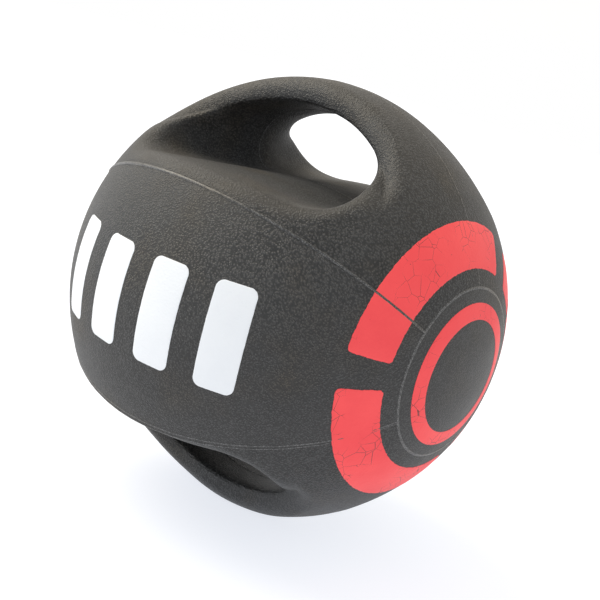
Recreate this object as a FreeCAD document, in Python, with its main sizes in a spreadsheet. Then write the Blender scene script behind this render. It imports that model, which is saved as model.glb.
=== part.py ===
"""A hollow rubber medicine ball with two moulded grips.

The ball's centre is the origin. X runs along both grip bars, Y through the two finger tunnels, and Z up
through the top grip. The weight marking faces -Y and the coloured end mark faces +X. Millimetres.

The moulded pieces meet on two pairs of meridian seams through the X poles, on a cone round each pole, and on
the plane Y = 0 where the two halves of each grip meet.
"""

import FreeCAD, Part
import math
import os

import Sketcher
from FreeCAD import Placement, Rotation, Vector

DIMENSIONS = {
    "ball_radius": 115.0,
    "panel_wall": 25.0,
    "seam_angle": 30.7,
    "end_angle": 22.0,
    # finger tunnel, measured on the plane Y = 0
    "floor_height": 65.0,
    "floor_crown_radius": 138.0,
    "tunnel_half_width": 66.0,
    "tunnel_corner_radius": 20.0,
    # the same outline on a plane just outside the ball, which gives the tunnel its draft
    "mouth_reach": 138.0,
    "mouth_floor_drop": 2.5,
    "mouth_crown_radius": 575.0,
    "mouth_half_width_gain": 3.0,
    "mouth_corner_radius": 31.0,
    "tunnel_wall": 16.0,
    "lip_radius": 5.5,
    # grip bar: an arch of elliptical section
    "bar_arch_centre": 10.4,
    "bar_arch_radius": 106.1,
    "bar_thickness": 17.0,
    "bar_half_width": 19.0,
    "bar_end_angle": 52.0,
    "bar_end_thickness": 27.0,
    "bar_end_half_width": 45.0,
    # inflation valve, on the axis of the left end
    "boot_neck_radius": 7.0,
    "boot_flange_angle": 10.0,
    "boot_flange_thickness": 3.0,
    "valve_recess": 0.6,
    "core_radius": 4.0,
    "core_head_radius": 5.5,
    "core_head_length": 3.0,
    "core_tail_length": 2.0,
    "needle_port_radius": 1.1,
    # printed marks
    "ink_thickness": 0.3,
    "weight_bar_height": 50.0,
    "weight_bar_width": 20.0,
    "weight_bar_corner": 4.0,
    "weight_bar_pitch_angle": 17.0,
    "mark_band_inner_angle": 26.5,
    "mark_band_outer_angle": 38.0,
    "mark_band_gap_angle": 14.0,
    "mark_ring_inner_angle": 14.5,
    "mark_ring_outer_angle": 18.5,
}
# expressions for lengths that end well outside the ball
CLEAR = "1.5 * {ball_radius}"
END = "{end_angle} * 1 deg"
MARK_BAND_SEGMENTS = 3
BAR_SECTIONS = 9
BAR_FLARE_POWER = 3
# one printed bar for each kilogram
WEIGHT_BARS = 4

doc = FreeCAD.newDocument("medicine_ball")
sheet = doc.addObject("Spreadsheet::Sheet", "dims")
for row, (alias, value) in enumerate(DIMENSIONS.items(), start=1):
    sheet.set(f"A{row}", alias)
    sheet.set(f"B{row}", str(value))
    sheet.setAlias(f"B{row}", alias)
doc.recompute()


def dim(alias):
    return getattr(sheet, alias)


def drive(thing, **expressions):
    """Binds each named property to an expression over the sheet's aliases, written as {alias}."""
    for name, expression in expressions.items():
        thing.setExpression(name, over_sheet(expression))


def over_sheet(expression):
    for alias in DIMENSIONS:
        expression = expression.replace("{" + alias + "}", f"dims.{alias}")
    return expression


# ---------------------------------------------------------------- sketches


def new_sketch(body, name, plane, offset=None):
    sketch = body.newObject("Sketcher::SketchObject", name)
    origin_plane = next(o for o in body.Origin.OriginFeatures if o.Role == plane)
    sketch.AttachmentSupport = [(origin_plane, "")]
    sketch.MapMode = "FlatFace"
    if offset:
        drive(sketch, **{"AttachmentOffset.Base.z": offset})
    return sketch


def join(sketch, first, second):
    """Joins the end of one edge to the start of the next."""
    sketch.addConstraint(Sketcher.Constraint("Coincident", first, 2, second, 1))


def measure(sketch, kind, *where, to):
    """Adds a driving dimension bound to an expression, started at its present value."""
    index = sketch.addConstraint(Sketcher.Constraint(kind, *where, value_of(to)))
    sketch.setExpression(f"Constraints[{index}]", over_sheet(to))


def value_of(expression):
    """The present value of an expression over the sheet, in plain numbers."""
    number = sheet.evalExpression(over_sheet(expression).replace("dims.", ""))
    return float(getattr(number, "Value", number))


def place_point(sketch, edge, end, x, y):
    """Holds a point at signed distances from the origin, each given as an expression."""
    for kind, expression in (("DistanceX", x), ("DistanceY", y)):
        if abs(value_of(expression)) > 1e-9:
            measure(sketch, kind, -1, 1, edge, end, to=expression)


def polar_point(radius, angle):
    """A point at a radius and a polar angle from +X, on the positive side of the sketch."""
    return Vector(radius * math.cos(math.radians(angle)), radius * math.sin(math.radians(angle)), 0)


def arc_about_origin(radius, angle_from, angle_to):
    circle = Part.Circle(Vector(0, 0, 0), Vector(0, 0, 1), radius)
    return Part.ArcOfCircle(circle, math.radians(angle_from), math.radians(angle_to))


def annular_sector(sketch, inner, outer, angle_from, angle_to):
    """A ring sector about the origin. All four are expressions; an inner radius of 0 gives a pie slice."""
    r_in, r_out, a_from, a_to = (value_of(e) for e in (inner, outer, angle_from, angle_to))
    out = sketch.addGeometry(arc_about_origin(r_out, a_from, a_to))
    sketch.addConstraint(Sketcher.Constraint("Coincident", out, 3, -1, 1))
    if r_in:
        far = sketch.addGeometry(Part.LineSegment(polar_point(r_out, a_to), polar_point(r_in, a_to)))
        back = sketch.addGeometry(arc_about_origin(r_in, a_from, a_to))
        near = sketch.addGeometry(Part.LineSegment(polar_point(r_in, a_from), polar_point(r_out, a_from)))
        sketch.addConstraint(Sketcher.Constraint("Coincident", back, 3, -1, 1))
        sketch.addConstraint(Sketcher.Constraint("Coincident", far, 2, back, 2))
        sketch.addConstraint(Sketcher.Constraint("Coincident", near, 1, back, 1))
    else:
        far = sketch.addGeometry(Part.LineSegment(polar_point(r_out, a_to), Vector(0, 0, 0)))
        near = sketch.addGeometry(Part.LineSegment(Vector(0, 0, 0), polar_point(r_out, a_from)))
        join(sketch, far, near)
        sketch.addConstraint(Sketcher.Constraint("Coincident", near, 1, -1, 1))
    join(sketch, out, far)
    join(sketch, near, out)
    for arc, radius in ((out, outer), (back, inner)) if r_in else ((out, outer),):
        place_point(sketch, arc, 1, f"({radius}) * cos({angle_from})", f"({radius}) * sin({angle_from})")
        measure(sketch, "DistanceX", -1, 1, arc, 2, to=f"({radius}) * cos({angle_to})")


def revolve(body, sketch, angle, midplane=False, reverse=False):
    """Turns a sketch about the body's X axis."""
    turned = body.newObject("PartDesign::Revolution", f"{body.Name}_turned")
    turned.Profile = sketch
    turned.ReferenceAxis = (sketch, ["H_Axis"])
    turned.Midplane = midplane
    turned.Reversed = reverse
    drive(turned, Angle=angle)
    body.Tip = turned
    return turned


def sector_body(name, plane, inner, outer, angle_from, angle_to, turn, **how):
    """A body made by turning a ring sector about X."""
    body = doc.addObject("PartDesign::Body", name)
    sketch = new_sketch(body, f"{name}_sketch", plane)
    annular_sector(sketch, inner, outer, angle_from, angle_to)
    revolve(body, sketch, turn, **how)
    return body


# ---------------------------------------------------------------- booleans and mirrors


def combine(kind, name, base, tool):
    result = doc.addObject(f"Part::{kind}", name)
    result.Base = base
    result.Tool = tool
    return result


def mirrored(name, source, normal):
    result = doc.addObject("Part::Mirroring", name)
    result.Source = source
    result.Normal = Vector(*normal)
    return result


# ---------------------------------------------------------------- panels


def shell_panels():
    """The two long panels and the right end panel. The shell is one wall thick."""
    inner, outer = "{ball_radius} - {panel_wall}", "{ball_radius}"
    long_panel = ("XY_Plane", inner, outer, END, f"180 deg - {END}", "2 * {seam_angle}")
    back = sector_body("back_panel", *long_panel, midplane=True)
    front = mirrored("front_panel", back, (0, 1, 0))
    right = sector_body("right_end_panel", "XY_Plane", inner, outer, "0 deg", END, "360")
    return [front, back, right]


# ---------------------------------------------------------------- finger tunnel


def tunnel_profile(sketch, floor, half_width, crown, corner):
    """The tunnel's outline on a plane of constant Y: a crowned floor, two round corners and open sides."""
    z_floor, w, r_crown, r_corner = (value_of(e) for e in (floor, half_width, crown, corner))
    z_crown = z_floor - r_crown
    z_corner = z_crown + math.sqrt((r_crown + r_corner) ** 2 - (w - r_corner) ** 2)
    z_top = value_of(CLEAR)
    lean = math.degrees(math.asin((w - r_corner) / (r_crown + r_corner)))
    up = Vector(0, 0, 1)
    crown_circle = Part.Circle(Vector(0, z_crown, 0), up, r_crown)
    floor_arc = Part.ArcOfCircle(crown_circle, math.radians(90 - lean), math.radians(90 + lean))
    right_circle = Part.Circle(Vector(w - r_corner, z_corner, 0), up, r_corner)
    left_circle = Part.Circle(Vector(r_corner - w, z_corner, 0), up, r_corner)
    right_arc = Part.ArcOfCircle(right_circle, math.radians(-90 - lean), 0)
    left_arc = Part.ArcOfCircle(left_circle, math.pi, math.radians(270 + lean))
    edges = [
        floor_arc,
        right_arc,
        Part.LineSegment(Vector(w, z_corner, 0), Vector(w, z_top, 0)),
        Part.LineSegment(Vector(w, z_top, 0), Vector(-w, z_top, 0)),
        Part.LineSegment(Vector(-w, z_top, 0), Vector(-w, z_corner, 0)),
        left_arc,
    ]
    arc, right, right_side, lid, left_side, left = (sketch.addGeometry(e) for e in edges)
    touching = ((arc, 1, right, 1), (right, 2, right_side, 1), (left_side, 2, left, 1), (left, 2, arc, 2))
    for ends in touching:
        sketch.addConstraint(Sketcher.Constraint("Tangent", *ends))
    join(sketch, right_side, lid)
    join(sketch, lid, left_side)
    sketch.addConstraint(Sketcher.Constraint("PointOnObject", arc, 3, -2))
    sketch.addConstraint(Sketcher.Constraint("Vertical", right_side))
    sketch.addConstraint(Sketcher.Constraint("Vertical", left_side))
    sketch.addConstraint(Sketcher.Constraint("Horizontal", lid))
    sketch.addConstraint(Sketcher.Constraint("Equal", right, left))
    measure(sketch, "Radius", arc, to=crown)
    measure(sketch, "Radius", right, to=corner)
    measure(sketch, "DistanceY", -1, 1, arc, 3, to=f"{floor} - ({crown})")
    place_point(sketch, right_side, 2, half_width, CLEAR)
    measure(sketch, "DistanceX", -1, 1, left_side, 1, to=f"-({half_width})")


def tunnel_core(name, growth):
    """The front half of the tunnel as a solid core with draft, grown outwards by a wall."""
    body = doc.addObject("PartDesign::Body", name)
    middle = new_sketch(body, f"{name}_middle", "XZ_Plane")
    tunnel_profile(
        middle,
        f"{{floor_height}} - {growth}",
        f"{{tunnel_half_width}} + {growth}",
        f"{{floor_crown_radius}} - {growth}",
        f"{{tunnel_corner_radius}} + {growth}",
    )
    mouth = new_sketch(body, f"{name}_mouth", "XZ_Plane", offset="{mouth_reach}")
    tunnel_profile(
        mouth,
        f"{{floor_height}} - {{mouth_floor_drop}} - {growth}",
        f"{{tunnel_half_width}} + {{mouth_half_width_gain}} + {growth}",
        f"{{mouth_crown_radius}} - {growth}",
        f"{{mouth_corner_radius}} + {growth}",
    )
    loft = body.newObject("PartDesign::AdditiveLoft", f"{name}_loft")
    loft.Profile = middle
    loft.Sections = [mouth]
    loft.Ruled = True
    body.Tip = loft
    return body


# ---------------------------------------------------------------- grip


def bar_section(name, angle, flare):
    """One elliptical section of the bar, at an angle round the arch from its crown."""
    section = doc.addObject("Part::Ellipse", name)
    thickness = f"({{bar_thickness}} + ({{bar_end_thickness}} - {{bar_thickness}}) * {flare})"
    drive(
        section,
        MajorRadius=f"{{bar_half_width}} + ({{bar_end_half_width}} - {{bar_half_width}}) * {flare}",
        MinorRadius=f"{thickness} / 2",
    )
    outward = Vector(math.sin(angle), 0, math.cos(angle))
    across = Vector(0, 1, 0)
    middle = dim("bar_arch_radius") - value_of(thickness) / 2
    centre = Vector(0, 0, dim("bar_arch_centre")) + outward * middle
    section.Placement = Placement(centre, Rotation(across, outward, across.cross(outward), "XYZ"))
    return section


def grip_bar():
    """The whole bar, lofted round its arch and flaring into the ball at both ends."""
    sections = []
    for i in range(BAR_SECTIONS):
        along = 2 * i / (BAR_SECTIONS - 1) - 1
        angle = math.radians(dim("bar_end_angle")) * along
        sections.append(bar_section(f"bar_section_{i + 1}", angle, abs(along) ** BAR_FLARE_POWER))
    bar = doc.addObject("Part::Loft", "grip_bar")
    bar.Sections = sections
    bar.Solid = True
    return bar


def lip_edges(shape):
    """The numbers of the edges where the outside of the ball meets the walls of the tunnel."""
    x_axis = Vector(1, 0, 0)
    margin = 0.5
    chosen = []
    for index, edge in enumerate(shape.Edges, start=1):
        first, last = edge.ParameterRange
        points = [edge.valueAt(first + part * (last - first)) for part in (0.3, 0.7)]
        from_pole = [math.degrees(p.getAngle(x_axis)) for p in points]
        above_front = [math.degrees(math.atan2(p.z, -p.y)) for p in points]
        on_ball = all(abs(p.Length - dim("ball_radius")) < 0.01 for p in points)
        off_ends = all(dim("end_angle") + margin < a < 180 - dim("end_angle") - margin for a in from_pole)
        off_seam = all(a > dim("seam_angle") + 0.1 * margin for a in above_front)
        off_crest = all(p.y < -0.1 * margin for p in points)
        if on_ball and off_ends and off_seam and off_crest:
            chosen.append(index)
    return chosen


def grip_walls():
    """The front half of the top grip without its bar: the ball's wall, the lip and the tunnel's wall."""
    to_crest = "90 - {seam_angle}"
    inside = "{ball_radius} - {panel_wall}"
    block = sector_body("grip_block", "XZ_Plane", "0", "{ball_radius}", END, f"180 deg - {END}", to_crest)
    hollow_block = sector_body("hollow_block", "XZ_Plane", "0", inside, END, f"180 deg - {END}", to_crest)
    opened = combine("Cut", "opened_block", block, tunnel_core("finger_tunnel", "0"))
    doc.recompute()
    lips = doc.addObject("Part::Fillet", "rounded_lips")
    lips.Base = opened
    lips.Edges = [(index, dim("lip_radius"), dim("lip_radius")) for index in lip_edges(opened.Shape)]
    hollow = combine("Cut", "hollow", hollow_block, tunnel_core("tunnel_lining", "{tunnel_wall}"))
    return combine("Cut", "grip_walls", lips, hollow)


def grip_halves():
    """The four grip halves. The top front one is modelled and the others are its mirror images."""
    front_side = doc.addObject("Part::Box", "front_side")
    drive(front_side, Length=f"2 * {CLEAR}", Width=CLEAR, Height=CLEAR)
    drive(front_side, **{"Placement.Base.x": f"-{CLEAR}", "Placement.Base.y": f"-{CLEAR}"})
    half_bar = combine("Common", "half_bar", grip_bar(), front_side)
    top_front = doc.addObject("Part::MultiFuse", "top_grip_front")
    top_front.Shapes = [grip_walls(), half_bar]
    top_back = mirrored("top_grip_back", top_front, (0, 1, 0))
    bottom_front = mirrored("bottom_grip_front", top_front, (0, 0, 1))
    bottom_back = mirrored("bottom_grip_back", bottom_front, (0, 1, 0))
    return [top_front, top_back, bottom_front, bottom_back]


# ---------------------------------------------------------------- valve


def rod(name, radius, start, length):
    """A round rod along X. Its radius, start and length are expressions."""
    cylinder = doc.addObject("Part::Cylinder", name)
    cylinder.Placement = Placement(Vector(value_of(start), 0, 0), Rotation(Vector(0, 1, 0), 90))
    drive(cylinder, Radius=radius, Height=length)
    drive(cylinder, **{"Placement.Base.x": start})
    return cylinder


def left_end():
    """The left end panel with its valve, modelled at the right end and mirrored."""
    face = "({ball_radius} - {valve_recess})"
    wall_inside = "({ball_radius} - {panel_wall})"
    inside = f"({wall_inside} - {{boot_flange_thickness}})"
    panel = sector_body("end_blank", "XY_Plane", wall_inside, "{ball_radius}", "0 deg", END, "360")
    hole = rod("boot_hole", "{boot_neck_radius}", "0", CLEAR)
    bored_panel = combine("Cut", "bored_panel", panel, hole)
    flange_edge = "{boot_flange_angle} * 1 deg"
    flange = sector_body("boot_flange", "XY_Plane", inside, wall_inside, "0 deg", flange_edge, "360")
    neck = rod("boot_neck", "{boot_neck_radius}", inside, f"{face} - {inside}")
    boot_blank = combine("Fuse", "boot_blank", flange, neck)
    tail_start = f"{inside} - {{core_tail_length}}"
    shank = rod("core_shank", "{core_radius}", tail_start, f"{face} - ({tail_start})")
    head = rod("core_head", "{core_head_radius}", f"{face} - {{core_head_length}}", "{core_head_length}")
    core_blank = combine("Fuse", "core_blank", shank, head)
    port = rod("needle_port", "{needle_port_radius}", "0", CLEAR)
    core = combine("Cut", "bored_core", core_blank, port)
    boot = combine("Cut", "bored_boot", boot_blank, core_blank)
    pairs = (("left_end_panel", bored_panel), ("valve_boot", boot), ("valve_core", core))
    return [mirrored(name, source, (1, 0, 0)) for name, source in pairs]


# ---------------------------------------------------------------- printed marks


def rounded_block(name, width, height, corner):
    """A block with round corners that runs from the ball's centre to the front."""
    block = doc.addObject("Part::Box", f"{name}_block")
    drive(block, Length=width, Width=CLEAR, Height=height)
    drive(block, **{"Placement.Base.x": f"-{width} / 2", "Placement.Base.y": f"-{CLEAR}"})
    drive(block, **{"Placement.Base.z": f"-{height} / 2"})
    doc.recompute()
    directions = [edge.tangentAt(edge.FirstParameter) for edge in block.Shape.Edges]
    along_y = [index for index, way in enumerate(directions, start=1) if abs(way.y) > 0.9]
    rounded = doc.addObject("Part::Fillet", name)
    rounded.Base = block
    rounded.Edges = [(index, dim(corner), dim(corner)) for index in along_y]
    return rounded


def weight_marks():
    """Upright bars side by side, each pressed straight into a thin layer over the front panel."""
    over = doc.addObject("Part::Sphere", "ink_outside")
    drive(over, Radius="{ball_radius} + {ink_thickness}")
    under = doc.addObject("Part::Sphere", "ink_inside")
    drive(under, Radius="{ball_radius}")
    layer = combine("Cut", "ink_layer", over, under)
    size = ("{weight_bar_width}", "{weight_bar_height}", "weight_bar_corner")
    marks = []
    for i in range(WEIGHT_BARS):
        die = rounded_block(f"bar_die_{i + 1}", *size)
        turn = (i - (WEIGHT_BARS - 1) / 2) * dim("weight_bar_pitch_angle")
        die.Placement = Placement(Vector(0, 0, 0), Rotation(Vector(0, 0, 1), turn))
        marks.append(combine("Common", f"weight_mark_{i + 1}", layer, die))
    return marks


def end_marks():
    """A broad band in equal segments round the right end panel, and a narrow ring on the panel."""
    outer = "{ball_radius} + {ink_thickness}"
    band = ("{mark_band_inner_angle} * 1 deg", "{mark_band_outer_angle} * 1 deg")
    ring = ("{mark_ring_inner_angle} * 1 deg", "{mark_ring_outer_angle} * 1 deg")
    turn = f"360 / {MARK_BAND_SEGMENTS} - {{mark_band_gap_angle}}"
    layer = ("XY_Plane", "{ball_radius}", outer)
    marks = [sector_body("end_mark_ring", *layer, *ring, "360")]
    for i in range(MARK_BAND_SEGMENTS):
        segment = sector_body(f"end_mark_band_{i + 1}", *layer, *band, turn, midplane=True)
        turned = Rotation(Vector(1, 0, 0), 360 / MARK_BAND_SEGMENTS * i)
        segment.Placement = Placement(Vector(0, 0, 0), turned)
        marks.append(segment)
    return marks


# ---------------------------------------------------------------- build, check and write


def check_and_export(nodes):
    doc.recompute()
    broken = [thing.Name for thing in doc.Objects if {"Invalid", "Error"} & set(thing.State)]
    broken += [node.Name for node in nodes if node.Shape.isNull() or not node.Shape.isValid()]
    if broken:
        raise RuntimeError(f"failed objects: {broken}")
    os.makedirs("parts", exist_ok=True)
    for node in nodes:
        print(f"{node.Label}: {len(node.Shape.Solids)} solid, {node.Shape.Volume / 1000:.2f} cm3")
        node.Shape.exportStep(f"parts/{node.Label}.step")


check_and_export(shell_panels() + left_end() + grip_halves() + weight_marks() + end_marks())
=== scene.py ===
"""The looks of a hollow rubber medicine ball with two moulded grips.

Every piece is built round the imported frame, in metres and in its coordinates: the ball's centre is the
origin, X runs along the grips, -Y is the marked front and +Z is the top. Angles are in degrees. A polar
angle is measured from +X, and an azimuth turns about X from -Y towards +Z.
"""

import math
from functools import partial

import bmesh
import bpy
import numpy as np
from mathutils import Matrix, Vector, noise


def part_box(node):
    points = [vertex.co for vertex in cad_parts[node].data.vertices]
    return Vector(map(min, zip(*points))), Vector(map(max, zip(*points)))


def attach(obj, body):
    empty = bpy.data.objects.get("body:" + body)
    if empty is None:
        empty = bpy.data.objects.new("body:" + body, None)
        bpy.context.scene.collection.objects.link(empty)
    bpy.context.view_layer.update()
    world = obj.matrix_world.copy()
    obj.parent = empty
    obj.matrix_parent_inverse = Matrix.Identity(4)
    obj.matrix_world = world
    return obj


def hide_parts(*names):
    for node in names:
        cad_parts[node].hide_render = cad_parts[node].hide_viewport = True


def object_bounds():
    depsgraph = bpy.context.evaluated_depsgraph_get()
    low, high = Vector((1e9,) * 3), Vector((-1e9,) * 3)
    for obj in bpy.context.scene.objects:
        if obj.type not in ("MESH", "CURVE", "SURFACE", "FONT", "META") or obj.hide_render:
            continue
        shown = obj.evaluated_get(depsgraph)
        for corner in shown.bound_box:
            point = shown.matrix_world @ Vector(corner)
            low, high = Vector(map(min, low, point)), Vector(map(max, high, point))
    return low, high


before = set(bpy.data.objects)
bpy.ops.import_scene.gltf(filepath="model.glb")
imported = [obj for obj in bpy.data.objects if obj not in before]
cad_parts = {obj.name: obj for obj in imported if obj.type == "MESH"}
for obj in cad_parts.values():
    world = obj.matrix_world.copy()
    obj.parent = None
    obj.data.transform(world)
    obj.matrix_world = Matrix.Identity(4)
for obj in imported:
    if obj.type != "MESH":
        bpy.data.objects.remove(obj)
cad_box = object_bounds()

MM = 0.001
END_ANGLE = 22.0
SEAM_ANGLE = 30.7
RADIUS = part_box("back_panel")[1].y
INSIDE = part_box("right_end_panel")[0].x / math.cos(math.radians(END_ANGLE))
FLOOR_LEVEL = cad_box[0].z
VALVE_HOLE = 7.0 * MM


# ---------------------------------------------------------------- points and meshes


def on_ball(polar, azimuth, radius=RADIUS):
    polar, azimuth = np.broadcast_arrays(np.radians(polar), np.radians(azimuth))
    across = np.sin(polar)
    directions = (np.cos(polar), -across * np.cos(azimuth), across * np.sin(azimuth))
    return np.stack(directions, -1) * radius


def unit(vectors):
    return vectors / np.linalg.norm(vectors, axis=-1, keepdims=True)


def mesh_object(name, points, faces):
    mesh = bpy.data.meshes.new(name)
    mesh.from_pydata(np.asarray(points).tolist(), [], [tuple(face) for face in faces])
    piece = bpy.data.objects.new(name, mesh)
    bpy.context.scene.collection.objects.link(piece)
    return piece


def add_piece(name, points, faces, material, slot, *nodes, sharp=40.0):
    """A closed mesh that rides on the ball and stands for the named CAD nodes."""
    piece = mesh_object(name, points, faces)
    piece.data.validate()
    piece.data.shade_smooth()
    piece.data.set_sharp_from_angle(angle=math.radians(sharp))
    piece.data.materials.append(material)
    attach(piece, "root")
    if nodes:
        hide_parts(*nodes)
    return piece


def shell_grid(outer, inner, wrap=False):
    """Points and faces of a closed sheet between two grids. wrap joins its second direction."""
    rows, columns = outer.shape[:2]
    points = np.concatenate([outer.reshape(-1, 3), inner.reshape(-1, 3)])
    number = np.arange(rows * columns).reshape(rows, columns)
    under = number + rows * columns
    if wrap:
        number = np.concatenate([number, number[:, :1]], 1)
        under = np.concatenate([under, under[:, :1]], 1)

    def quads(a, b, c, d):
        return np.stack([a, b, c, d], -1).reshape(-1, 4)

    def band(top, bottom):
        return quads(top[:-1], top[1:], bottom[1:], bottom[:-1])

    faces = [
        quads(number[:-1, :-1], number[1:, :-1], number[1:, 1:], number[:-1, 1:]),
        quads(under[:-1, :-1], under[:-1, 1:], under[1:, 1:], under[1:, :-1]),
        band(number[0], under[0]),
        band(under[-1], number[-1]),
    ]
    if not wrap:
        faces += [band(under[:, 0], number[:, 0]), band(number[:, -1], under[:, -1])]
    return points, np.concatenate(faces)


def merged(points, faces, distance=1e-7):
    """The same mesh with coinciding points joined, as at a pole."""
    mesh = bmesh.new()
    corners = [mesh.verts.new(point) for point in points]
    for face in faces:
        mesh.faces.new([corners[i] for i in face])
    bmesh.ops.remove_doubles(mesh, verts=mesh.verts, dist=distance)
    bmesh.ops.dissolve_degenerate(mesh, dist=distance, edges=mesh.edges)
    mesh.verts.index_update()
    clean_points = [tuple(v.co) for v in mesh.verts]
    clean_faces = [[v.index for v in face.verts] for face in mesh.faces]
    mesh.free()
    return clean_points, clean_faces


def tube(rings, closed):
    """Points and faces of a swept section. Each row of rings is one section, a loop of points."""
    count, around = rings.shape[:2]
    number = np.arange(count * around).reshape(count, around)
    ahead = np.roll(number, -1, 0) if closed else number[1:]
    here = number if closed else number[:-1]
    quads = np.stack([here, np.roll(here, -1, 1), np.roll(ahead, -1, 1), ahead], -1)
    faces = quads.reshape(-1, 4).tolist()
    if not closed:
        faces += [number[0, ::-1].tolist(), number[-1].tolist()]
    return rings.reshape(-1, 3), faces


# ---------------------------------------------------------------- materials

# the rubber's own colour, which also stands as painted shade in the grain's creases, and the two colours
# of chalk and dust on its pebbles
RUBBER_BLACK = (0.0065, 0.0065, 0.0065)
GREY_DUST = (0.070, 0.070, 0.070)
BROWN_DUST = (0.078, 0.067, 0.051)


def new_material(name):
    material = bpy.data.materials.new(name)
    material.use_nodes = True
    tree = material.node_tree
    return material, tree, tree.nodes["Principled BSDF"]


def add_node(tree, kind, inputs=None, **settings):
    node = tree.nodes.new(kind)
    for key, value in settings.items():
        setattr(node, key, value)
    for key, value in (inputs or {}).items():
        if isinstance(value, bpy.types.NodeSocket):
            tree.links.new(value, node.inputs[key])
        else:
            node.inputs[key].default_value = value
    return node


def math_node(tree, operation, first, second=0.0, clamp=False):
    inputs = {0: first, 1: second}
    return add_node(tree, "ShaderNodeMath", inputs, operation=operation, use_clamp=clamp).outputs[0]


def remap(tree, value, low, high, to_low=0.0, to_high=1.0):
    inputs = {"Value": value, "From Min": low, "From Max": high, "To Min": to_low, "To Max": to_high}
    return add_node(tree, "ShaderNodeMapRange", inputs).outputs["Result"]


def mixed_colour(tree, factor, first, second):
    node = add_node(tree, "ShaderNodeMix", {"Factor": factor}, data_type="RGBA")
    for socket, value in ((node.inputs[6], first), (node.inputs[7], second)):
        if isinstance(value, bpy.types.NodeSocket):
            tree.links.new(value, socket)
        else:
            socket.default_value = (*value, 1.0)
    return node.outputs[2]


def object_position(tree):
    return add_node(tree, "ShaderNodeTexCoord").outputs["Object"]


def distance_from_centre(tree, place):
    return add_node(tree, "ShaderNodeVectorMath", {0: place}, operation="LENGTH").outputs["Value"]


def noise_at(tree, place, scale, detail=3.0, roughness=0.5):
    inputs = {"Vector": place, "Scale": scale, "Detail": detail, "Roughness": roughness}
    return add_node(tree, "ShaderNodeTexNoise", inputs).outputs["Fac"]


def pebble_height(tree, place, cell):
    """The height of a moulded leather-like grain, 0 in its creases and 1 on its pebbles."""
    swirl = add_node(tree, "ShaderNodeTexNoise", {"Vector": place, "Scale": 0.6 / cell, "Detail": 1.0})
    reach = (0.6 * cell,) * 3
    inputs = {0: swirl.outputs["Color"], 1: reach}
    shift = add_node(tree, "ShaderNodeVectorMath", inputs, operation="MULTIPLY").outputs[0]
    bent = add_node(tree, "ShaderNodeVectorMath", {0: place, 1: shift}, operation="ADD").outputs[0]
    cells = add_node(tree, "ShaderNodeTexVoronoi", {"Vector": bent, "Scale": 1 / cell}, feature="F1")
    return remap(tree, cells.outputs["Distance"], 0.10, 0.62, 1.0, 0.0)


def rubber_layers(tree, place, cell, relief, chalk_and_highlight=1.0):
    """The grain's height, fainter inside the tunnels, the rubber's colour over it and its cloudiness. The
    fainter grain also darkens the colour inside the tunnels, as painted shade.
    """
    pebbles = pebble_height(tree, place, cell)
    distance = distance_from_centre(tree, place)
    # fainter grain inside the tunnels, which also lowers the colour's tone there and so paints shade
    # inside them
    outside = remap(tree, distance, RADIUS - 58 * MM, RADIUS - 42 * MM, 0.8, 1.0)
    fine = math_node(tree, "MULTIPLY", noise_at(tree, place, 2600.0, 2.0), 0.35)
    height = math_node(tree, "MULTIPLY", math_node(tree, "ADD", pebbles, fine), outside)
    cloudy = noise_at(tree, place, 22.0, 4.0, 0.6)
    dust = noise_at(tree, place, 150.0, 5.0, 0.65)
    # the colour follows the grain's height: lighter on the pebbles, partly from chalk and dust on them,
    # and darker in the creases as painted shade
    lift = math_node(tree, "MULTIPLY", height, relief)
    tone = math_node(tree, "ADD", lift, remap(tree, cloudy, 0.35, 0.7, -0.06, 0.12))
    tone = math_node(tree, "ADD", tone, remap(tree, dust, 0.5, 0.75, 0.0, 0.16), clamp=True)
    brown = remap(tree, noise_at(tree, place, 31.0, 3.0), 0.5, 0.72)
    # the dust colours are lightened by a factor: chalk on the grips, and on the flash's lines partly chalk
    # and partly a painted highlight
    dust_and_highlight_tints = [[shade * chalk_and_highlight for shade in colour] for colour in (GREY_DUST, BROWN_DUST)]
    dust_and_highlight_colour = mixed_colour(tree, brown, *dust_and_highlight_tints)
    return height, mixed_colour(tree, tone, RUBBER_BLACK, dust_and_highlight_colour), cloudy


def finish_surface(tree, shader, height, depth, roughness, cloudy):
    """Links the roughness and the grain. The walls of the tunnels are duller than the skin."""
    distance = distance_from_centre(tree, object_position(tree))
    inside = remap(tree, distance, RADIUS - 35 * MM, RADIUS - 10 * MM, 0.50, 0.0)
    rough = remap(tree, cloudy, 0.3, 0.7, roughness - 0.06, roughness + 0.08)
    tree.links.new(math_node(tree, "ADD", rough, inside), shader.inputs["Roughness"])
    bump = add_node(tree, "ShaderNodeBump", {"Height": height, "Distance": depth, "Strength": 1.0})
    tree.links.new(bump.outputs["Normal"], shader.inputs["Normal"])


def rubber(name, cell, depth, relief, roughness, chalk_and_highlight=1.0, shine=0.5):
    material, tree, shader = new_material(name)
    shader.inputs["Specular IOR Level"].default_value = shine
    height, colour, cloudy = rubber_layers(tree, object_position(tree), cell, relief, chalk_and_highlight)
    tree.links.new(colour, shader.inputs["Base Color"])
    finish_surface(tree, shader, height, depth, roughness, cloudy)
    return material


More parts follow.
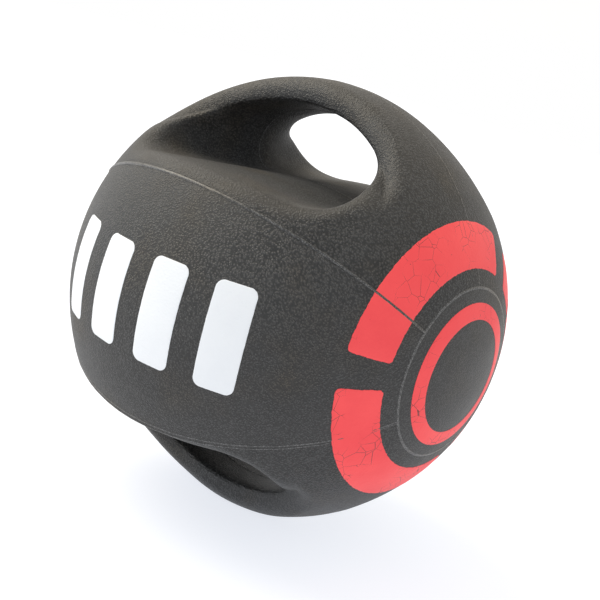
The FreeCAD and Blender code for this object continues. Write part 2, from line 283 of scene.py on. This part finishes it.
def ink(name, colour, shade, gaps, specks):
    """Print that follows the rubber's grain.

    gaps is how far its cracks open, and specks is the noise above which it is nicked.
    """
    material, tree, shader = new_material(name)
    place = object_position(tree)
    height, under, cloudy = rubber_layers(tree, place, 1.35 * MM, 0.35)
    inputs = {"Vector": place, "Scale": 150.0}
    cells = add_node(tree, "ShaderNodeTexVoronoi", inputs, feature="DISTANCE_TO_EDGE")
    where = noise_at(tree, place, 38.0, 2.0)
    crack_width = remap(tree, where, 0.5, 0.72, 0.0, gaps)
    cracked = math_node(tree, "LESS_THAN", cells.outputs["Distance"], crack_width)
    nicked = math_node(tree, "GREATER_THAN", noise_at(tree, place, 420.0, 4.0, 0.7), specks)
    bare = math_node(tree, "MAXIMUM", cracked, nicked)
    tint = mixed_colour(tree, remap(tree, cloudy, 0.3, 0.7), colour, shade)
    tree.links.new(mixed_colour(tree, bare, tint, under), shader.inputs["Base Color"])
    finish_surface(tree, shader, height, 0.05 * MM, 0.55, cloudy)
    return material


PANEL_RUBBER = rubber("panel_rubber", 1.0 * MM, 0.36 * MM, 0.72, 0.50)
END_RUBBER = rubber("end_rubber", 0.85 * MM, 0.16 * MM, 0.50, 0.48)
GRIP_RUBBER = rubber("grip_rubber", 1.0 * MM, 0.29 * MM, 0.60, 0.49, chalk_and_highlight=1.15, shine=0.40)
# the flash's lines are much lighter than the skin: partly rubbed white and partly a painted highlight
# along their ridges
FLASH_RUBBER = rubber("flash_rubber", 0.7 * MM, 0.05 * MM, 0.9, 0.34, chalk_and_highlight=2.2)
VALVE_RUBBER = rubber("valve_rubber", 0.6 * MM, 0.02 * MM, 0.1, 0.42)
WHITE_INK = ink("white_ink", (0.80, 0.82, 0.845), (0.75, 0.775, 0.81), 0.0, 0.74)
RED_INK = ink("red_ink", (0.92, 0.070, 0.074), (0.82, 0.050, 0.060), 0.016, 0.715)


# ---------------------------------------------------------------- panels and ends


def panel(name, facing):
    """One of the two long panels, centred on azimuth 0 or 180."""
    polar = np.linspace(END_ANGLE, 180 - END_ANGLE, 137)[:, None]
    azimuth = facing + np.linspace(-SEAM_ANGLE, SEAM_ANGLE, 62)[None, :]
    outer, inner = on_ball(polar, azimuth), on_ball(polar, azimuth, INSIDE)
    add_piece(name + "_skin", *shell_grid(outer, inner), PANEL_RUBBER, "rubber", name)


def end_panel(name, side, hole=0.0):
    """A cap about a pole of X. side is 1 or -1, and hole is the radius of its valve hole."""
    azimuth = np.arange(0.0, 360.0, 2.0)[None, :]

    def cap(radius):
        inner_edge = math.degrees(math.asin(hole / radius))
        return on_ball(np.linspace(inner_edge, END_ANGLE, 24)[:, None], azimuth, radius)

    points, faces = merged(*shell_grid(cap(RADIUS), cap(INSIDE), wrap=True))
    points = np.array(points) * (side, 1, 1)
    if side < 0:
        faces = [face[::-1] for face in faces]
    add_piece(name + "_skin", points, faces, END_RUBBER, "rubber", name)


def valve_part(name, node, profile):
    """A turned piece on the left end's axis. The profile is a loop of (distance from centre, radius)."""
    turn = np.radians(np.arange(0.0, 360.0, 5.0))
    rings = np.array([[(-x, r * math.cos(t), r * math.sin(t)) for t in turn] for x, r in profile]) * MM
    add_piece(name, *tube(rings, closed=True), VALVE_RUBBER, "valve_rubber", node, sharp=35.0)


def arc(radius, first, last, count):
    """Points of a turned profile on a sphere about the ball's centre."""
    angles = np.radians(np.linspace(first, last, count))
    return [(radius * math.cos(a), radius * math.sin(a)) for a in angles]


def valve():
    """The boot and the core in it, in mm from the ball's centre along the axis and out from it."""
    face, seat, core_end, edge = 114.4, 111.4, 85.0, 0.4
    neck, head, core, port = VALVE_HOLE / MM, 5.5, 4.0, 1.1
    inner, outer = INSIDE / MM - 3.0, INSIDE / MM
    rim = math.radians(10.0)
    boot_profile = [
        (face, head), (face, neck - edge), (face - edge, neck), (math.sqrt(outer**2 - neck**2), neck),
        *arc(outer, 5.5, 9.7, 8), (outer * math.cos(rim) - edge, outer * math.sin(rim)),
        *arc(inner, 9.8, 3.0, 10), (inner, core), (seat, core), (seat, head),
    ]
    core_profile = [
        (face - edge, port), (face, port + edge), (face, head - edge), (face - edge, head),
        (seat, head), (seat, core), (core_end + edge, core), (core_end, core - edge), (core_end, port),
    ]
    valve_part("valve_boot_turned", "valve_boot", boot_profile)
    valve_part("valve_core_turned", "valve_core", core_profile)


# ---------------------------------------------------------------- grips

# Sizes of a grip and its tunnel, in ball radii. In a pair, the first is for the middle of the tunnel or of
# the bar, and the second for the mouth or the roots.
MOUTH = 0.74
FLOOR_HEIGHT = 0.5475
FLOOR_LEAN = 0.0145
LEAN_RUN = 0.25
FLOOR_CROWNS = (1.28, 2.9)
CORNER_ROUNDINGS = (0.391, 0.26)
TUNNEL_HALF_WIDTH = 0.620
TUNNEL_DRAFT = 0.030
CREST_SOFTNESS = 0.08
BAR_UNDERSIDE = 0.870
BAR_DEPTH = 0.030
BAR_CROWNS = (1.12, 1.24)
BAR_HALF_WIDTHS = (0.195, 0.280)
BAR_SQUARENESS = 2.8
ARCH_CENTRE = 0.143
ROOT_ROUNDINGS = (0.307, 0.167)
LIP_ROUNDINGS = (0.06, 0.08)
MOUTH_LIP_ROUNDING = 0.05
BAR_RISE = 0.011
RISE_HALF_WIDTH = 0.2
RISE_START = 0.64
LINING = 0.14
LINING_ROUNDING = 0.03

# where those pairs pass from one to the other: a RUN is along the tunnel, and a SPAN along the bar
ARCH_RUN = (0.0, 0.55)
ROOT_RUN = (0.0, 0.40)
LIP_RUN = (0.45, 0.70)
BAR_CROWN_SPAN = (0.10, 0.50)
BAR_WIDTH_SPAN = (0.15, 0.60)
LIP_SPAN = (0.10, 0.45)

# the net that a grip's surface is drawn with, and the least values of what is divided by
NET_LOW, NET_HIGH, NET_STEP = (-1.05, -1.05, 0.05), (1.05, 0.06, 1.06), 0.0122
LEAST_BAR_HEIGHT = 0.02
TINY = 1e-9


def rounded_max(a, b, rounding):
    """The larger of two fields, with the edge between them rounded."""
    corner = np.hypot(np.maximum(a + rounding, 0), np.maximum(b + rounding, 0))
    return np.minimum(np.maximum(a, b), -rounding) + corner


def between(share, first, last):
    return first + (last - first) * share


def eased(value, low, high):
    """0 below low and 1 above high, with a smooth rise between them."""
    share = np.clip((value - low) / (high - low), 0, 1)
    return share * share * (3 - 2 * share)


def tunnel_field(x, y, z):
    """Negative inside the tunnel without its bar. The floor is crowned, less so towards the mouth."""
    out = eased(y, 0.0, MOUTH)
    run = np.hypot(y, CREST_SOFTNESS) - CREST_SOFTNESS
    crown = 1 / between(out, 1 / FLOOR_CROWNS[0], 1 / FLOOR_CROWNS[1])
    corner = between(out, *CORNER_ROUNDINGS)
    floor = crown - np.hypot(x, z - FLOOR_HEIGHT + crown)
    side = x - TUNNEL_HALF_WIDTH - TUNNEL_DRAFT * run
    return rounded_max(floor, side, corner)


def bar_field(x, y, z):
    """Negative inside the bar, whose section is a shallow half oval below a tall one.

    The bar widens towards its roots, and its arch is tightest halfway through the tunnel.
    """
    centre = between(eased(y, *ARCH_RUN), ARCH_CENTRE, 0.0)
    crown = between(eased(x, *BAR_CROWN_SPAN), *BAR_CROWNS)
    width = between(eased(x, *BAR_WIDTH_SPAN), *BAR_HALF_WIDTHS)
    height = np.hypot(x, z - centre) - (BAR_UNDERSIDE - centre + BAR_DEPTH)
    to_crown = np.maximum(crown - np.sqrt(x * x + y * y + z * z), LEAST_BAR_HEIGHT)
    reach = np.where(height < 0, BAR_DEPTH, height + to_crown)
    up, across, p = np.abs(height) / reach, y / width, BAR_SQUARENESS
    k = (up**p + across**p) ** (1 / p) + TINY
    slope = np.hypot(up ** (p - 1) / reach, across ** (p - 1) / width) * k ** (1 - p) + TINY
    return (k - 1) / slope


def ball_field(x, y, z):
    """Negative inside the ball's skin, which stands a little proud along the crown of the bar."""
    rise = BAR_RISE * np.exp(-((y / RISE_HALF_WIDTH) ** 2))
    swell = rise * np.clip((z - RISE_START) / (1 - RISE_START), 0, 1)
    return np.sqrt(x * x + y * y + z * z) - 1 - swell


def grip_field(points, lean=0.0):
    """Negative inside the rubber of a grip's half of the ball. Points are in ball radii.

    lean is how much higher the tunnel lies at this mouth than in the middle.
    """
    x, y, z = np.moveaxis(np.abs(points), -1, 0)
    level = z - lean * np.tanh(y / LEAN_RUN)
    tunnel = tunnel_field(x, y, level)
    root = between(eased(y, *ROOT_RUN), *ROOT_ROUNDINGS)
    along_bar = between(eased(x, *LIP_SPAN), *LIP_ROUNDINGS)
    lip = between(eased(y, *LIP_RUN), along_bar, MOUTH_LIP_ROUNDING)
    opening = rounded_max(tunnel, -bar_field(x, y, level), root)
    solid = rounded_max(ball_field(x, y, z), -opening, lip)
    inside_shell = np.sqrt(x * x + y * y + z * z) - INSIDE / RADIUS
    hollow = rounded_max(inside_shell, LINING - tunnel, LINING_ROUNDING)
    return np.maximum(solid, -hollow)


def gradient(field, points, step=1e-4):
    offsets = np.eye(3) * step
    return np.stack([field(points + d) - field(points - d) for d in offsets], -1) / (2 * step)


def surface_net(field, low, high, step, pulls=3, least_slope=0.2):
    """Points and quads where the field crosses zero in a box, pulled onto the exact surface."""
    axes = [np.arange(a, b, step) for a, b in zip(low, high)]
    places = np.stack(np.meshgrid(*axes, indexing="ij"), -1)
    values = field(places)
    for axis, ticks in enumerate(axes):
        to_side = np.minimum(places[..., axis] - ticks[2], ticks[-3] - places[..., axis])
        values = np.maximum(values, -to_side)
    inside = values < 0
    cells = np.array(values.shape) - 1
    total, count, loops = np.zeros((cells.prod(), 3)), np.zeros(cells.prod()), []
    for axis in range(3):
        b, c = np.eye(3, dtype=int)[[(axis + 1) % 3, (axis + 2) % 3]]
        along = np.eye(3, dtype=int)[axis]
        crossing = np.argwhere(np.diff(inside, axis=axis))
        near, far = values[tuple(crossing.T)], values[tuple((crossing + along).T)]
        point = crossing + (near / (near - far))[:, None] * along
        ring = [np.ravel_multi_index((crossing - d).T, cells) for d in (0 * b, b, b + c, c)]
        for cell in ring:
            np.add.at(total, cell, point)
            np.add.at(count, cell, 1)
        loop = np.stack(ring, -1)
        loop[near >= 0] = loop[near >= 0, ::-1]
        loops.append(loop)
    used = np.flatnonzero(count)
    number = np.zeros(len(count), int)
    number[used] = np.arange(len(used))
    points = np.array([a[0] for a in axes]) + total[used] / count[used, None] * step
    for _ in range(pulls):
        slope = gradient(field, points)
        shift = field(points)[:, None] * slope / (slope**2).sum(-1, keepdims=True).clip(least_slope)
        points -= shift.clip(-step / 2, step / 2)
    return points, number[np.concatenate(loops)]


def sector_cutter():
    """The space between the front seam and the plane y = 0, outside both end cones."""
    profile = on_ball(np.linspace(END_ANGLE, 180 - END_ANGLE, 35), 0.0, 1.3)[:, :2] * (1, -1)
    profile = np.vstack([[0.0, 0.0], profile])
    azimuth = np.radians(np.linspace(SEAM_ANGLE, 90.0, 61))
    rings = np.array([[(x, -r * math.cos(a), r * math.sin(a)) for x, r in profile] for a in azimuth])
    return merged(*tube(rings, closed=False))


def cut_grip(field):
    """A quarter of the ball's grips at the top front, as points and faces in metres."""
    net = surface_net(field, NET_LOW, NET_HIGH, NET_STEP)
    block, cutter = mesh_object("block", *net), mesh_object("cutter", *sector_cutter())
    cut = block.modifiers.new("sector", "BOOLEAN")
    cut.operation, cut.solver, cut.object = "INTERSECT", "MANIFOLD", cutter
    evaluated = block.evaluated_get(bpy.context.evaluated_depsgraph_get())
    mesh = bpy.data.meshes.new_from_object(evaluated)
    points = np.array([v.co for v in mesh.vertices]) * RADIUS
    faces = [tuple(face.vertices) for face in mesh.polygons]
    for piece in (block, cutter):
        bpy.data.objects.remove(piece)
    bpy.data.meshes.remove(mesh)
    return points, faces


def light_face_by_face(mesh):
    """Gives each face corner its own face's normal, so that a grip is lit in small facets."""
    normals = [face.normal for face in mesh.polygons for _ in range(face.loop_total)]
    mesh.normals_split_custom_set(normals)


def grips():
    """Each tunnel lies a little higher at one mouth. The bottom grip is the top one turned about X."""
    mouths = ((FLOOR_LEAN, "top", "bottom"), (-FLOOR_LEAN, "bottom", "top"))
    for lean, front_level, back_level in mouths:
        points, faces = cut_grip(partial(grip_field, lean=lean))
        for level, face in ((front_level, "front"), (back_level, "back")):
            up, back = (1 if level == "top" else -1), (1 if face == "front" else -1)
            node = f"{level}_grip_{face}"
            turned = points * (1, back, up)
            loops = faces if up * back > 0 else [loop[::-1] for loop in faces]
            skin = node + "_skin"
            piece = add_piece(skin, turned, loops, GRIP_RUBBER, "grip_rubber", node, sharp=60.0)
            light_face_by_face(piece.data)


# ---------------------------------------------------------------- moulding flash

# how far the feet of a line lie under the skin, and their width beside the line's own
FLASH_SINK = 0.15 * MM
FLASH_SINK_WIDTH = 0.9


def flash(name, points, normals, width, height, closed=False, thinning=1.0):
    """A raised line along a row of points, uneven as moulding flash is.

    It thins towards +X, down to thinning times its size.
    """
    ahead = np.roll(points, -1, 0) - np.roll(points, 1, 0)
    if not closed:
        ahead[0], ahead[-1] = points[1] - points[0], points[-1] - points[-2]
    across = unit(np.cross(unit(ahead), normals))
    places = [Vector(point) for point in points]
    lumps = [0.75 + 0.5 * noise.noise(p * 160.0) + 0.2 * noise.noise(p * 900.0) for p in places]
    towards_right = eased(points[:, 0], -0.9 * RADIUS, 0.5 * RADIUS)
    size = between(towards_right, 1.0, thinning)[:, None, None]
    uneven = np.clip(lumps, 0.25, 1.3)[:, None, None] * size
    turn = np.radians(np.linspace(0, 180, 7))[None, :, None]
    sideways = across[:, None] * np.cos(turn) * width / 2 * size
    arch = sideways + normals[:, None] * np.sin(turn) * height * uneven
    sunk = -normals[:, None] * FLASH_SINK
    feet = [arch[:, i : i + 1] * FLASH_SINK_WIDTH + sunk for i in (6, 0)]
    rings = points[:, None] + np.concatenate([arch, *feet], 1)
    add_piece(name, *tube(rings, closed), FLASH_RUBBER, "rubber", sharp=70.0)


def seam_lines():
    """The long seams. The lower ones are fainter, with a second line beside them."""
    polar = np.arange(END_ANGLE, 180 - END_ANGLE + 0.1, 0.4)
    sizes = {"upper": (2.2 * MM, 0.65 * MM), "lower": (1.0 * MM, 0.28 * MM)}
    for face, facing, sides in (("front", 0.0, (1, -1)), ("back", 180.0, (-1, 1))):
        for level, side in zip(sizes, sides):
            azimuth = facing + side * SEAM_ANGLE
            line = on_ball(polar, azimuth)
            flash(f"{face}_{level}_seam", line, unit(line), *sizes[level], thinning=0.55)
            if level == "lower":
                second = on_ball(polar, azimuth - side * 1.1)
                flash(f"{face}_{level}_seam_second", second, unit(second), 0.8 * MM, 0.16 * MM)


def end_lines():
    azimuth = np.arange(0.0, 360.0, 1.0)
    for side, polar in (("right", END_ANGLE), ("left", 180 - END_ANGLE)):
        line = on_ball(polar, azimuth)
        flash(f"{side}_end_line", line, unit(line), 1.3 * MM, 0.22 * MM, closed=True)


def root_along(start, direction, low, high):
    """Where a ray from start crosses the grip's surface between two distances, in ball radii."""
    for _ in range(40):
        middle = (low + high) / 2
        empty = grip_field(start + direction * middle) > 0
        low, high = (middle, high) if empty else (low, middle)
    return start + direction * (low + high) / 2


def crest_lines():
    """The parting line between the two halves of each grip: over the bar and round the tunnel."""
    centre = np.array([0.0, 0.0, 0.72])
    step = 0.005
    steps = np.arange(0.05, 0.8, step)
    over, around = [], []
    for angle in np.radians(np.arange(END_ANGLE, 180 - END_ANGLE + 0.1, 0.5)):
        outward = np.array([math.cos(angle), 0.0, math.sin(angle)])
        over.append(root_along(outward * 1.1, -outward, 0.0, 0.15))
    for angle in np.radians(np.arange(0.0, 360.0, 1.5)):
        direction = np.array([math.cos(angle), 0.0, math.sin(angle)])
        solid = grip_field(centre + steps[:, None] * direction) < 0
        reach = steps[np.argmax(solid)]
        around.append(root_along(centre, direction, reach - step, reach))
    for level, up in (("top", 1), ("bottom", -1)):
        for kind, line, height in (("crown", over, 0.12 * MM), ("tunnel", around, 0.25 * MM)):
            points = np.array(line) * (1, 1, up)
            normals = unit(unit(gradient(grip_field, points)) * (1, 0, 1))
            closed = kind == "tunnel"
            flash(f"{level}_{kind}_line", points * RADIUS, normals, 0.7 * MM, height, closed)


# ---------------------------------------------------------------- printed marks

# the height of the ink over the skin, the share of it at an edge, and how far the ink reaches below
INK_DEPTH = 0.12 * MM
INK_EDGE = 0.45
INK_SINK = 0.05 * MM

# one printed bar for each kilogram
WEIGHT_BARS = 4
WEIGHT_BAR_WIDTH = 20.0 * MM
WEIGHT_BAR_HEIGHT = 50.4 * MM
WEIGHT_BAR_CORNER = 4.0 * MM
WEIGHT_BAR_PITCH = 17.0

# the rings on the right end, as polar angles, and the gaps in the wide one
BAND_INNER = 26.5
BAND_OUTER = 38.0
BAND_GAP = 14.0
BAND_SEGMENTS = 3
BAND_CORNER = 2.5 * MM
RING_INNER = 14.5
RING_OUTER = 18.5


def rounded_rectangle(width, height, rounding, spacing=0.8 * MM):
    """Closely spaced points along its outline, about the origin."""
    signs = ((-1, -1), (1, -1), (1, 1), (-1, 1))
    corners = [np.array((u * width / 2, v * height / 2)) for u, v in signs]
    half_angle = math.radians(45.0)
    reach = rounding / math.tan(half_angle)
    points = []
    for i, corner in enumerate(corners):
        back, ahead = unit(corners[i - 1] - corner), unit(corners[(i + 1) % 4] - corner)
        middle = corner + unit(back + ahead) * rounding / math.sin(half_angle)
        for t in np.linspace(0, 1, 9):
            chord = corner + (back * (1 - t) + ahead * t) * reach
            points.append(middle + unit(chord - middle) * rounding)
    dense = []
    for a, b in zip(points, points[1:] + points[:1]):
        count = max(1, round(float(np.linalg.norm(b - a)) / spacing))
        dense += [a + (b - a) * i / count for i in range(count)]
    return dense


def ragged(points, amount, seed):
    """The outline with uneven edges, as ink has on a grained surface."""
    moved = []
    for point in points:
        place = Vector((point[0], point[1], seed)) * 700.0
        shift = noise.noise_vector(place) + 0.5 * noise.noise_vector(place * 2.3)
        moved.append((point[0] + shift.x * amount, point[1] + shift.y * amount))
    return moved


def ink_patch(name, node, outline, place, material, slot, roughness, grid=1.6 * MM):
    """A thin layer of ink: a flat outline is filled, cut into a grid and laid on the ball by place."""
    flat = bmesh.new()
    verts = [flat.verts.new((u, v, 0)) for u, v in ragged(outline, roughness, len(node))]
    for pair in zip(verts, verts[1:] + verts[:1]):
        flat.edges.new(pair)
    bmesh.ops.triangle_fill(flat, use_beauty=True, edges=flat.edges)
    for axis in (Vector((1, 0, 0)), Vector((0, 1, 0))):
        reach = [v.co.dot(axis) for v in flat.verts]
        for distance in np.arange(min(reach) + grid / 3, max(reach), grid):
            plane = {"plane_co": axis * distance, "plane_no": axis, "dist": 1e-7}
            bmesh.ops.bisect_plane(flat, geom=flat.verts[:] + flat.edges[:] + flat.faces[:], **plane)
    flat.verts.index_update()
    uv = np.array([v.co[:2] for v in flat.verts])
    rim = np.array([v.is_boundary for v in flat.verts])
    up = np.sign([face.normal.z for face in flat.faces])
    faces = [[v.index for v in face.verts][:: int(way) or 1] for face, way in zip(flat.faces, up)]
    directions = unit(place(uv[:, 0], uv[:, 1]))
    top = directions * (RADIUS + INK_DEPTH * np.where(rim, INK_EDGE, 1.0))[:, None]
    bottom = directions * (RADIUS - INK_SINK)
    below = len(uv)
    sides = []
    for face in faces:
        for a, b in zip(face, face[1:] + face[:1]):
            if flat_edge(flat, a, b).is_boundary:
                sides.append([b, a, a + below, b + below])
    under = [[i + below for i in face[::-1]] for face in faces]
    flat.free()
    points = np.vstack([top, bottom])
    add_piece(name, points, faces + under + sides, material, slot, node, sharp=80.0)


def flat_edge(flat, a, b):
    """The edge between two points that are given by number."""
    flat.verts.ensure_lookup_table()
    start = flat.verts[a]
    return next(edge for edge in start.link_edges if edge.other_vert(start).index == b)


def round_the_front(longitude):
    """Lays flat marks round the ball: u along the equator and v up a meridian."""

    def place(u, v):
        east, north = math.radians(longitude) + u / RADIUS, v / RADIUS
        level = np.cos(north)
        return np.stack([np.sin(east) * level, -np.cos(east) * level, np.sin(north)], -1)

    return place


def weight_marks():
    """Upright bars side by side, numbered from the left."""
    outline = rounded_rectangle(WEIGHT_BAR_WIDTH, WEIGHT_BAR_HEIGHT, WEIGHT_BAR_CORNER)
    for i in range(WEIGHT_BARS):
        node = f"weight_mark_{i + 1}"
        place = round_the_front((i - (WEIGHT_BARS - 1) / 2) * WEIGHT_BAR_PITCH)
        ink_patch(node + "_print", node, outline, place, WHITE_INK, "white_ink", 0.07 * MM)


def round_the_pole(azimuth, polar):
    """Lays flat marks round the right end: u against its azimuth and v away from the pole."""
    across = RADIUS * math.sin(math.radians(polar))

    def place(u, v):
        return on_ball(polar + np.degrees(v / RADIUS), azimuth - np.degrees(u / across))

    return place


def end_marks():
    """The segments of the wide ring, then the narrow ring."""
    middle = (BAND_INNER + BAND_OUTER) / 2
    across = RADIUS * math.sin(math.radians(middle))
    pitch = 360 / BAND_SEGMENTS
    length = math.radians(pitch - BAND_GAP) * across
    depth = math.radians(BAND_OUTER - BAND_INNER) * RADIUS
    outline = rounded_rectangle(length, depth, BAND_CORNER)
    for i in range(BAND_SEGMENTS):
        node = f"end_mark_band_{i + 1}"
        place = round_the_pole(180.0 + pitch * i, middle)
        ink_patch(node + "_print", node, outline, place, RED_INK, "red_ink", 0.3 * MM)
    ring_mark()


def ring_mark():
    """The narrow ring, as a closed strip with uneven edges."""
    azimuth = np.arange(0.0, 360.0, 0.75)
    share = np.array([0.0, 0.06, 0.3, 0.5, 0.7, 0.94, 1.0])[:, None]
    rows = [[noise.noise(Vector((a * 1.3, side, 0.0))) for a in azimuth] for side in (0.0, 9.0)]
    wobble = 0.12 * np.array(rows)
    inner, outer = RING_INNER + wobble[:1], RING_OUTER + wobble[1:]
    polar = inner + (outer - inner) * share
    height = RADIUS + INK_DEPTH * np.where((share == 0) | (share == 1), INK_EDGE, 1.0)
    top = on_ball(polar, azimuth[None, :]) * (height / RADIUS)[..., None]
    bottom = on_ball(polar, azimuth[None, :], RADIUS - INK_SINK)
    points, faces = shell_grid(top, bottom, wrap=True)
    node = "end_mark_ring"
    add_piece(node + "_print", points, faces, RED_INK, "red_ink", node, sharp=80.0)


# ---------------------------------------------------------------- studio


def studio_floor():
    material, tree, shader = new_material("studio_floor")
    tone = noise_at(tree, object_position(tree), 3.0, 2.0)
    grey = mixed_colour(tree, tone, (0.34, 0.34, 0.345), (0.36, 0.36, 0.36))
    tree.links.new(grey, shader.inputs["Base Color"])
    shader.inputs["Roughness"].default_value = 0.9
    shader.inputs["Specular IOR Level"].default_value = 0.0
    # painted light: the floor glows, which keeps it white, lightens the ball's shadow on it and lights the
    # ball's underside with a cool tint
    shader.inputs["Emission Color"].default_value = (0.90, 0.93, 1.0, 1.0)
    shader.inputs["Emission Strength"].default_value = 0.8
    half = 8.0
    corners = [(-half, -half, 0), (half, -half, 0), (half, half, 0), (-half, half, 0)]
    floor = mesh_object("studio_floor", corners, [(0, 1, 2, 3)])
    floor.location.z = FLOOR_LEVEL - 0.5 * MM
    floor.data.materials.append(material)


# from the ball towards the marked side, which is lit least
FRONT = (0.5847, -0.7800, 0.2229)


def studio_light():
    """A white room, dimmer in front of the ball, with a warm sun above left and a cool one below it."""
    scene = bpy.context.scene
    scene.view_settings.view_transform = "Standard"
    world = bpy.data.worlds.new("studio")
    world.use_nodes = True
    tree = world.node_tree
    direction = add_node(tree, "ShaderNodeTexCoord").outputs["Generated"]
    height = add_node(tree, "ShaderNodeSeparateXYZ", {0: direction}).outputs["Z"]
    sky = mixed_colour(tree, remap(tree, height, 0.05, 0.8), (1.0, 1.0, 1.0), (1.16, 1.05, 0.88))
    inputs = {0: direction, 1: FRONT}
    facing = add_node(tree, "ShaderNodeVectorMath", inputs, operation="DOT_PRODUCT").outputs["Value"]
    in_front, raised = remap(tree, facing, 0.0, 0.95), remap(tree, height, 0.06, 0.18)
    dim = math_node(tree, "MULTIPLY", in_front, raised)
    softened = mixed_colour(tree, dim, sky, (0.55, 0.61, 0.68))
    tree.links.new(softened, tree.nodes["Background"].inputs["Color"])
    scene.world = world
    add_sun("key", (-0.65, -0.25, 0.80), 2.7, 45.0, (1.0, 0.93, 0.80))
    add_sun("fill", (-0.85, -0.50, 0.05), 0.6, 60.0, (0.72, 0.87, 1.0))


def add_sun(name, towards, strength, softness, colour):
    """A distant soft light that shines from a direction."""
    light = bpy.data.lights.new(name, "SUN")
    light.energy = strength
    light.angle = math.radians(softness)
    light.color = colour
    sun = bpy.data.objects.new(name, light)
    sun.rotation_mode = "QUATERNION"
    sun.rotation_quaternion = Vector(towards).to_track_quat("Z", "Y")
    bpy.context.scene.collection.objects.link(sun)


def camera():
    """Looks at the ball from the front right and a little above, tilted to the left."""
    distance = 5.066 * RADIUS
    towards = Vector(FRONT).normalized()
    right = Vector((0.7371, 0.6256, 0.2557))
    right = (right - towards * right.dot(towards)).normalized()
    up = towards.cross(right)
    data = bpy.data.cameras.new("camera")
    data.sensor_width = 36.0
    data.lens = 65.28
    data.shift_x, data.shift_y = 0.01895, -0.0049
    data.clip_start, data.clip_end = 0.01, 100.0
    view = bpy.data.objects.new("camera", data)
    turn = Matrix((right, up, towards)).transposed().to_4x4()
    view.matrix_world = Matrix.Translation(towards * distance) @ turn
    bpy.context.scene.collection.objects.link(view)
    bpy.context.scene.camera = view


panel("front_panel", 0.0)
panel("back_panel", 180.0)
end_panel("right_end_panel", 1)
end_panel("left_end_panel", -1, hole=VALVE_HOLE)
valve()
grips()
seam_lines()
end_lines()
crest_lines()
weight_marks()
end_marks()
studio_floor()
studio_light()
camera()
